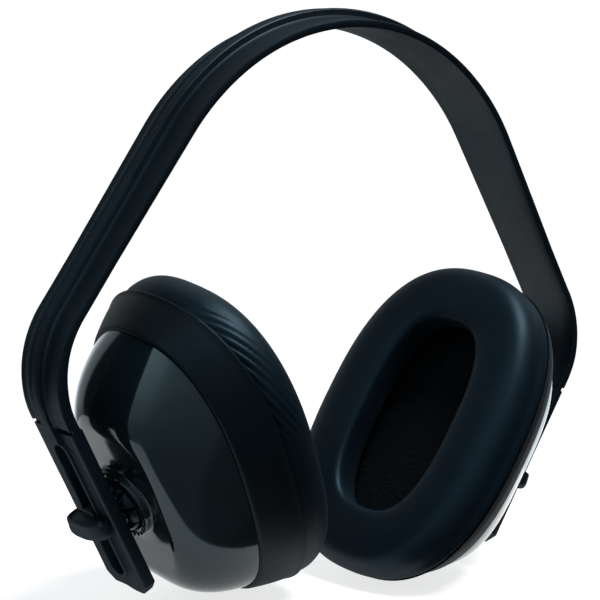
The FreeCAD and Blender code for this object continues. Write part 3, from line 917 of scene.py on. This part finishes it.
def vinyl_material():
    material, nodes, links, shader = new_material(
        "soft_satin_vinyl", (0.0006, 0.003, 0.006), 0.44, specular=0.19, sheen=0.004, tone=COOL
    )
    tint(nodes, links, shader, 35, 3, (0.0006, 0.0026, 0.0052), (0.0012, 0.0036, 0.0068))
    rough = remap(nodes, links, noise(nodes, links, 220, 5), 0.42, 0.54)
    links.new(matt_at_grazing(nodes, links, rough, 0.25), shader.inputs["Roughness"])
    grain = noise(nodes, links, 1500, 3)
    crease = noise(nodes, links, 130, 3)
    bumps(nodes, links, shader, [(grain, 0.12, 0.00012), (crease, 0.08, 0.0006)])
    return material


def foam_material():
    material, nodes, links, shader = new_material(
        "open_cell_foam", (0.004, 0.0055, 0.007), 0.95, specular=0.1
    )
    tint(nodes, links, shader, 700, 4, (0.0008, 0.0018, 0.0028), (0.0022, 0.0042, 0.006))
    bumps(nodes, links, shader, [(cells(nodes, links, 750), 0.6, 0.0005)])
    return material


def acetal_material():
    material, nodes, links, shader = new_material(
        "semi_gloss_acetal", (0.0015, 0.0026, 0.0038), 0.3, specular=0.25, tone=COOL
    )
    links.new(remap(nodes, links, noise(nodes, links, 400, 4), 0.22, 0.34), shader.inputs["Roughness"])
    tint(nodes, links, shader, 80, 3, (0.0012, 0.0021, 0.0031), (0.0018, 0.0031, 0.0045))
    bumps(nodes, links, shader, [(noise(nodes, links, 1200, 2), 0.06, 0.0001)])
    return material


def steel_material():
    material, nodes, links, shader = new_material("plated_steel", (0.5, 0.5, 0.5), 0.3)
    shader.inputs["Metallic"].default_value = 1.0
    streaks = noise(nodes, links, 900, 4, stretch=(1, 1, 8))
    links.new(remap(nodes, links, streaks, 0.22, 0.4), shader.inputs["Roughness"])
    tint(nodes, links, shader, 200, 3, (0.42, 0.42, 0.43), (0.56, 0.56, 0.56))
    bumps(nodes, links, shader, [(noise(nodes, links, 1500, 2), 0.1, 0.0001)])
    return material


MATERIALS = {
    "band_plastic": band_material(),
    "knob_plastic": band_material(),
    "socket_plastic": acetal_material(),
    "screw_steel": steel_material(),
    "shell_plastic": shell_material(),
    "ring_plastic": ring_material(),
    "cushion_vinyl": vinyl_material(),
    "foam": foam_material(),
}


def finish_piece(obj, body, slot_name, *nodes):
    obj.data.materials.clear()
    obj.data.materials.append(MATERIALS[slot_name])
    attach(obj, body)
    if nodes:
        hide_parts(*nodes)
    return obj


# ---------------------------------------------------------------- assembly

# nodes of the frame that keep their own mesh, with their slots
KEPT_NODES = {
    "ball_stud": "socket_plastic",
    "stud_screw": "screw_steel",
    "cushion_plate": "ring_plastic",
}

finish_piece(headband(), "headband", "band_plastic", "headband")
for side in SIDES:
    cup_body = f"{side}_cup"
    finish_piece(slider_knob(side), f"{side}_slider", "knob_plastic", f"{side}_slider_knob")
    finish_piece(socket_ring(side), f"{side}_socket", "socket_plastic", f"{side}_socket_ring")
    finish_piece(cup_shell(side), cup_body, "shell_plastic", f"{side}_cup_shell")
    finish_piece(collar_fringe(side), cup_body, "shell_plastic")
    finish_piece(seal_ring(side), cup_body, "ring_plastic", f"{side}_seal_ring")
    cushion = finish_piece(cushion_skin(side), cup_body, "cushion_vinyl", f"{side}_cushion_skin")
    core = finish_piece(cushion_foam(side), cup_body, "foam", f"{side}_cushion_foam")
    liner = finish_piece(ear_liner(side), cup_body, "foam", f"{side}_ear_liner")
    block = finish_piece(cup_foam(side), cup_body, "foam", f"{side}_cup_foam")
    for node, slot_name in KEPT_NODES.items():
        item = frame["nodes"][f"{side}_{node}"]
        item.data.materials.clear()
        item.data.materials.append(MATERIALS[slot_name])

# ---------------------------------------------------------------- floor, light and camera


# metres: the table's half sizes and middle, and the point that the light faces
FLOOR_HALF, FLOOR_MIDDLE_Y = (0.17, 0.1), 0.07
MIDDLE = Vector((0.0, 0.0, 0.09))


def studio_floor():
    """Small pale table, lit softly from within, that fades into the white studio round it."""
    build = bmesh.new()
    ring = []
    for angle in np.linspace(0, 2 * math.pi, 96, endpoint=False):
        cosine, sine = math.cos(angle), math.sin(angle)
        reach = rounded_reach(cosine, sine, 8)
        x, y = FLOOR_HALF[0] * reach * cosine, FLOOR_MIDDLE_Y + FLOOR_HALF[1] * reach * sine
        ring.append(build.verts.new((x, y, 0.0)))
    build.faces.new(ring)
    mesh = bpy.data.meshes.new("studio_floor")
    build.to_mesh(mesh)
    build.free()
    floor = bpy.data.objects.new("studio_floor", mesh)
    bpy.context.scene.collection.objects.link(floor)
    material, nodes, links, shader = new_material("pale_floor", (0.45, 0.45, 0.45), 0.9, specular=0.05)
    tint(nodes, links, shader, 3, 2, (0.445, 0.445, 0.445), (0.455, 0.455, 0.455))
    shader.inputs["Emission Color"].default_value = (1, 1, 1, 1)
    shader.inputs["Emission Strength"].default_value = 0.74
    floor.data.materials.append(material)


def bearing(azimuth, elevation):
    """Direction off the front (-Y), turning towards +X, and above the horizon, in degrees."""
    around, up = math.radians(azimuth), math.radians(elevation)
    return Vector((math.sin(around) * math.cos(up), -math.cos(around) * math.cos(up), math.sin(up)))


CAMERA_AZIMUTH, CAMERA_ELEVATION, CAMERA_ROLL = -38.26, 6.87, 2.91
CAMERA_DISTANCE, CAMERA_LENS = 0.5973, 119.14
CAMERA_TARGET = (-0.00985, 0.0, CROWN * MM - 0.08157)


def camera():
    """Camera at the photograph's angle."""
    azimuth, roll = math.radians(CAMERA_AZIMUTH), math.radians(CAMERA_ROLL)
    back = bearing(CAMERA_AZIMUTH, CAMERA_ELEVATION)
    right = Vector((math.cos(azimuth), math.sin(azimuth), 0))
    up = right.cross(-back)
    tilted_right = right * math.cos(roll) + up * math.sin(roll)
    tilted_up = up * math.cos(roll) - right * math.sin(roll)
    target = Vector(CAMERA_TARGET)
    data = bpy.data.cameras.new("camera")
    data.lens = CAMERA_LENS
    data.sensor_width = 36.0
    data.clip_start = 0.05
    view = bpy.data.objects.new("camera", data)
    bpy.context.scene.collection.objects.link(view)
    axes = Matrix((tilted_right, tilted_up, back)).transposed().to_4x4()
    view.matrix_world = Matrix.Translation(target + back * CAMERA_DISTANCE) @ axes
    bpy.context.scene.camera = view


def studio_light(name, azimuth, elevation, distance, size, radiance):
    """Softbox that faces the object's middle, unseen by the camera."""
    data = bpy.data.lights.new(name, "AREA")
    data.shape = "RECTANGLE"
    data.size, data.size_y = size
    data.energy = 4 * size[0] * size[1] * radiance
    light = bpy.data.objects.new(name, data)
    bpy.context.scene.collection.objects.link(light)
    light.location = MIDDLE + distance * bearing(azimuth, elevation)
    light.rotation_euler = (MIDDLE - light.location).to_track_quat("-Z", "Y").to_euler()
    light.visible_camera = False


def studio_world():
    """White to the camera; to all else a dim room with soft white panels round it."""
    world = bpy.data.worlds.new("studio")
    world.use_nodes = True
    nodes, links = world.node_tree.nodes, world.node_tree.links

    def math_node(operation, *values):
        node = nodes.new("ShaderNodeMath")
        node.operation = operation
        for socket, value in zip(node.inputs, values):
            if isinstance(value, (int, float)):
                socket.default_value = value
            else:
                links.new(value, socket)
        return node.outputs["Value"]

    def ramp(source, points):
        """Smooth curve of a value in degrees, through (degrees, level) points with levels up to 1."""
        node = nodes.new("ShaderNodeValToRGB")
        node.color_ramp.interpolation = "EASE"
        elements = node.color_ramp.elements
        elements.remove(elements[1])
        for index, (degrees, level) in enumerate(points):
            place = (degrees + 180) / 360
            element = elements[0] if index == 0 else elements.new(place)
            element.position = place
            element.color = (level, level, level, 1)
        links.new(math_node("MULTIPLY_ADD", source, 1 / 360, 0.5), node.inputs["Fac"])
        return node.outputs["Color"]

    coordinates = nodes.new("ShaderNodeTexCoord")
    parts = nodes.new("ShaderNodeSeparateXYZ")
    links.new(coordinates.outputs["Generated"], parts.inputs["Vector"])
    forward = math_node("MULTIPLY", parts.outputs["Y"], -1.0)
    azimuth = math_node("DEGREES", math_node("ARCTAN2", parts.outputs["X"], forward))
    elevation = math_node("DEGREES", math_node("ARCSINE", parts.outputs["Z"]))

    def panel(strength, around, upright):
        """Soft-edged bright patch, from its levels over azimuth and over elevation."""
        level = math_node("MULTIPLY", ramp(azimuth, around), ramp(elevation, upright))
        return math_node("MULTIPLY", level, strength)

    front = panel(0.85, [(-114, 0), (-110, 1), (4, 0.85), (9, 0.35), (24, 0.25), (34, 0)],
                  [(-70, 0.2), (-45, 0.3), (-22, 0.44), (0, 0.62), (30, 0.9), (42, 1), (47, 0)])
    left = panel(1.5, [(-114, 0), (-108, 1), (-85, 0.75), (-55, 0.1), (-40, 0)],
                 [(-14, 0), (8, 0.3), (24, 0.6), (36, 1), (42, 1), (47, 0)])
    back_left = panel(0.85, [(-180, 1), (-155, 1), (-148, 0)],
                      [(-50, 0.1), (-32, 0.25), (-18, 0.6), (-5, 1), (22, 1), (40, 0.5), (58, 0)])
    back_right = panel(1.4, [(92, 0), (112, 1), (180, 1)],
                       [(-60, 0.5), (-35, 1), (22, 1), (40, 0.5), (58, 0)])
    back = math_node("ADD", back_left, back_right)
    glow = math_node("ADD", math_node("ADD", front, left), math_node("ADD", back, 0.07))

    rays = nodes.new("ShaderNodeLightPath")
    room = nodes["Background"]
    room.inputs["Color"].default_value = (0.85, 0.95, 1.0, 1)
    links.new(glow, room.inputs["Strength"])
    white = nodes.new("ShaderNodeBackground")
    white.inputs["Color"].default_value = (1, 1, 1, 1)
    white.inputs["Strength"].default_value = 1.05
    mix = nodes.new("ShaderNodeMixShader")
    links.new(rays.outputs["Is Camera Ray"], mix.inputs["Fac"])
    links.new(room.outputs["Background"], mix.inputs[1])
    links.new(white.outputs["Background"], mix.inputs[2])
    links.new(mix.outputs["Shader"], nodes["World Output"].inputs["Surface"])
    bpy.context.scene.world = world


studio_floor()
camera()
studio_light("top_softbox", 25, 68, 1.2, (0.7, 0.7), 15)
studio_world()
bpy.context.scene.view_settings.view_transform = "Standard"
